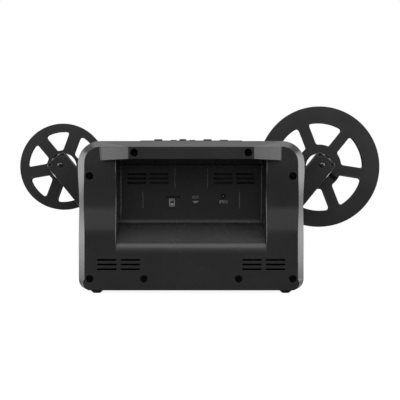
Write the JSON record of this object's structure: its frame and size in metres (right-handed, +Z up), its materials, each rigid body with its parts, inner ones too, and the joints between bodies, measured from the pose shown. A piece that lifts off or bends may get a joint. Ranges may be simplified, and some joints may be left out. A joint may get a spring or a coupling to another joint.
{
  "type": "film scanner",
  "caption": "Desktop scanner for reels of narrow cine film, with two folding reel arms, a film gate and display in front, keys on top and a port recess under a grip bar at the back.",
  "frame": {"origin": "on the table under the middle of the whole object's box", "axes": "+Z up, +Y out of the back with the port recess, +X along the film path towards the supply reel"},
  "size_m": [0.5304, 0.133, 0.27],
  "materials": {
    "case_plastic": "fine satin grain",
    "arm_plastic": "fine satin grain",
    "reel_plastic": "moulded satin",
    "key_plastic": "satin",
    "gate_plastic": "satin",
    "foot_rubber": "matte",
    "display_glass": "gloss",
    "lens_glass": "coated gloss",
    "diffuser": "opal",
    "circuit_board": "solder mask",
    "display_panel": "gloss",
    "bright_steel": "turned",
    "black_screw": "blackened",
    "spindle_steel": "polished",
    "jack_plastic": "gloss",
    "roller_plastic": "polished",
    "crank_brass": "turned",
    "brake_felt": "felt"
  },
  "bodies": {
    "chassis": {"front_cover": "case_plastic", "rear_cover": "case_plastic", "film_deck": "case_plastic", "rubber_feet": "foot_rubber", "case_screws": "black_screw", "display_glass": "display_glass", "lcd_module": "display_panel", "main_board": "circuit_board", "card_socket": "bright_steel", "usb_socket": "bright_steel", "dc_jack": "jack_plastic", "key_panel": "key_plastic", "key_board": "circuit_board", "film_channel": "gate_plastic", "gate_hinge_pin": "bright_steel", "camera_board": "circuit_board", "camera_barrel": "gate_plastic", "camera_lens": "lens_glass", "claw_motor": "bright_steel", "roller_pins": "bright_steel", "arm_pivots": "bright_steel"},
    "power_key": {"power_key": "key_plastic"},
    "menu_key": {"menu_key": "key_plastic"},
    "record_key": {"record_key": "key_plastic"},
    "pad_ok_key": {"pad_ok_key": "key_plastic"},
    "pad_left_key": {"pad_left_key": "key_plastic"},
    "pad_right_key": {"pad_right_key": "key_plastic"},
    "pad_rear_key": {"pad_rear_key": "key_plastic"},
    "pad_front_key": {"pad_front_key": "key_plastic"},
    "gate_door": {"gate_door": "gate_plastic", "led_board": "circuit_board", "light_diffuser": "diffuser"},
    "claw_crank": {"claw_crank": "crank_brass"},
    "film_claw": {"film_claw": "bright_steel"},
    "film_roller_1": {"film_roller_1": "roller_plastic"},
    "film_roller_2": {"film_roller_2": "roller_plastic"},
    "film_roller_3": {"film_roller_3": "roller_plastic"},
    "film_roller_4": {"film_roller_4": "roller_plastic"},
    "supply_arm": {"supply_arm_housing": "arm_plastic", "supply_arm_cover": "arm_plastic", "supply_arm_screws": "black_screw", "brake_washer": "brake_felt"},
    "take_up_arm": {"take_up_arm_housing": "arm_plastic", "take_up_arm_cover": "arm_plastic", "take_up_arm_screws": "black_screw", "take_up_motor": "bright_steel", "drive_belt": "foot_rubber"},
    "supply_reel": {"supply_spindle": "spindle_steel", "supply_hub": "reel_plastic", "supply_rear_flange": "reel_plastic", "supply_front_flange": "reel_plastic"},
    "take_up_reel": {"take_up_spindle": "spindle_steel", "take_up_pulley": "roller_plastic", "take_up_hub": "reel_plastic", "take_up_rear_flange": "reel_plastic", "take_up_front_flange": "reel_plastic"},
    "motor_pulley": {"motor_pulley": "roller_plastic"}
  },
  "joints": [
    {"name": "power_key_press", "type": "slide", "parent": "chassis", "child": "power_key", "axis": [0, 0, -1], "range_m": [0, 0.0008], "stiffness_N_per_m": 500},
    {"name": "menu_key_press", "type": "slide", "parent": "chassis", "child": "menu_key", "axis": [0, 0, -1], "range_m": [0, 0.0008], "stiffness_N_per_m": 500},
    {"name": "record_key_press", "type": "slide", "parent": "chassis", "child": "record_key", "axis": [0, 0, -1], "range_m": [0, 0.0008], "stiffness_N_per_m": 500},
    {"name": "pad_ok_key_press", "type": "slide", "parent": "chassis", "child": "pad_ok_key", "axis": [0, 0, -1], "range_m": [0, 0.0008], "stiffness_N_per_m": 500},
    {"name": "pad_left_key_press", "type": "slide", "parent": "chassis", "child": "pad_left_key", "axis": [0, 0, -1], "range_m": [0, 0.0008], "stiffness_N_per_m": 500},
    {"name": "pad_right_key_press", "type": "slide", "parent": "chassis", "child": "pad_right_key", "axis": [0, 0, -1], "range_m": [0, 0.0008], "stiffness_N_per_m": 500},
    {"name": "pad_rear_key_press", "type": "slide", "parent": "chassis", "child": "pad_rear_key", "axis": [0, 0, -1], "range_m": [0, 0.0008], "stiffness_N_per_m": 500},
    {"name": "pad_front_key_press", "type": "slide", "parent": "chassis", "child": "pad_front_key", "axis": [0, 0, -1], "range_m": [0, 0.0008], "stiffness_N_per_m": 500},
    {"name": "gate_swing", "type": "hinge", "parent": "chassis", "child": "gate_door", "pos_m": [0.0127, -0.044, 0.0565], "axis": [-1, 0, 0], "range_deg": [0, 90]},
    {"name": "crank_spin", "type": "hinge", "parent": "chassis", "child": "claw_crank", "pos_m": [0.0477, -0.0517, 0.04], "axis": [0, 0, 1], "continuous": true},
    {"name": "claw_pull", "type": "slide", "parent": "chassis", "child": "film_claw", "axis": [1, 0, 0], "range_m": [0, 0.0042]},
    {"name": "roller_1_spin", "type": "hinge", "parent": "chassis", "child": "film_roller_1", "pos_m": [-0.0853, -0.0485, 0.0562], "axis": [0, 1, 0], "continuous": true},
    {"name": "roller_2_spin", "type": "hinge", "parent": "chassis", "child": "film_roller_2", "pos_m": [-0.0413, -0.0485, 0.0562], "axis": [0, 1, 0], "continuous": true},
    {"name": "roller_3_spin", "type": "hinge", "parent": "chassis", "child": "film_roller_3", "pos_m": [0.0667, -0.0485, 0.0562], "axis": [0, 1, 0], "continuous": true},
    {"name": "roller_4_spin", "type": "hinge", "parent": "chassis", "child": "film_roller_4", "pos_m": [0.1107, -0.0485, 0.0562], "axis": [0, 1, 0], "continuous": true},
    {"name": "supply_arm_fold", "type": "hinge", "parent": "chassis", "child": "supply_arm", "pos_m": [0.1427, -0.0275, 0.108], "axis": [0, -1, 0], "range_deg": [0, 38]},
    {"name": "take_up_arm_fold", "type": "hinge", "parent": "chassis", "child": "take_up_arm", "pos_m": [-0.1173, -0.0275, 0.108], "axis": [0, 1, 0], "range_deg": [0, 38]},
    {"name": "supply_spin", "type": "hinge", "parent": "supply_arm", "child": "supply_reel", "pos_m": [0.20173, -0.0485, 0.18116], "axis": [0, 1, 0], "continuous": true},
    {"name": "take_up_spin", "type": "hinge", "parent": "take_up_arm", "child": "take_up_reel", "pos_m": [-0.17633, -0.0485, 0.18116], "axis": [0, 1, 0], "continuous": true},
    {"name": "motor_spin", "type": "hinge", "parent": "take_up_arm", "child": "motor_pulley", "pos_m": [-0.13991, -0.0335, 0.13602], "axis": [0, 1, 0], "continuous": true}
  ],
  "couplings": [
    {"joint": "motor_spin", "follows": "take_up_spin", "ratio": 1.8}
  ]
}
